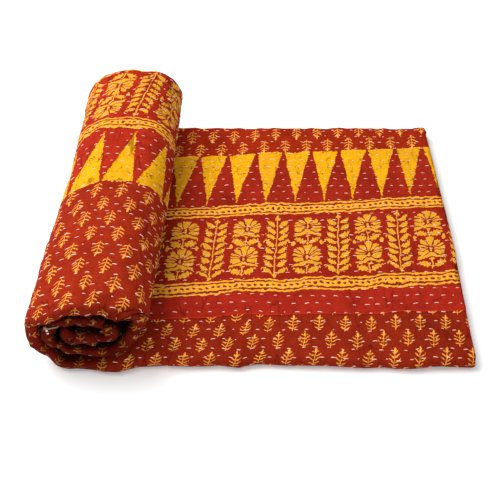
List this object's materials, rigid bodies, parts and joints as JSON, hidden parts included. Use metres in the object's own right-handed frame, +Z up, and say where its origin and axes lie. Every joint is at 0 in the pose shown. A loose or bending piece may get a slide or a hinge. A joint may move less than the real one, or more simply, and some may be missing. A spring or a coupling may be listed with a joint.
{
  "type": "kantha quilt",
  "caption": "Hand-quilted printed cotton throw, folded lengthways to a long strip and part rolled up, with the rest of the strip lying flat.",
  "frame": {"origin": "on the surface that the quilt lies on, under the middle of its box", "axes": "+X along the strip, from the roll to the flat end; +Y from the front fold to the back edge; +Z up"},
  "size_m": [0.4938, 0.393, 0.1072],
  "materials": {
    "printed_cotton": "matte quilted cotton, deep red with golden yellow block print",
    "kantha_thread": "off-white cotton thread, running stitch"
  },
  "bodies": {
    "root": {"quilt": "printed_cotton"}
  },
  "joints": []
}
